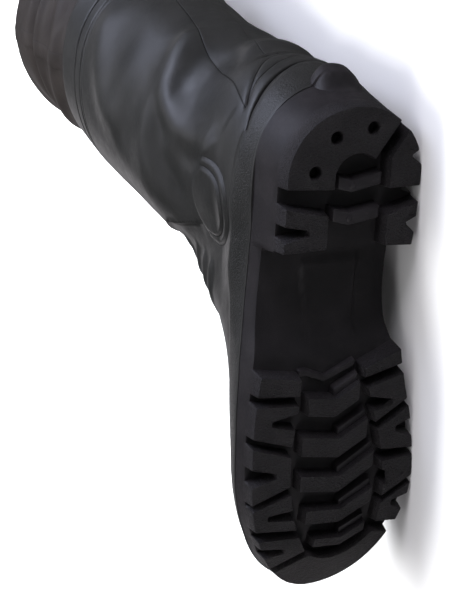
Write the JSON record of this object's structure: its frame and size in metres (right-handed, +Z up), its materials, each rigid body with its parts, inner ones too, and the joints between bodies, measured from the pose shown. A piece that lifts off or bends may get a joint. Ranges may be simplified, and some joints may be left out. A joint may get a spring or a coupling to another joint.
{
  "type": "wader boot",
  "caption": "Left wader boot lying on its inner side: moulded PVC boot with a cleated black outsole, kick-off spur, loose shaft and the start of the welded leg.",
  "frame": {"origin": "centre of the bounding box's bottom face, on the floor", "axes": "+X along the shaft from the sole towards the leg, +Y towards the toe, +Z up from the floor, towards the boot's outer side"},
  "size_m": [0.4684, 0.3312, 0.1519],
  "materials": {
    "outsole": "satin black PVC, fine grain on the lug faces",
    "upper": "satin olive-grey PVC with a stippled rand",
    "insole": "matt felt",
    "leg": "satin coated cloth"
  },
  "bodies": {
    "root": {"outsole": "outsole", "upper": "upper", "insole": "insole", "leg": "leg"}
  },
  "joints": []
}
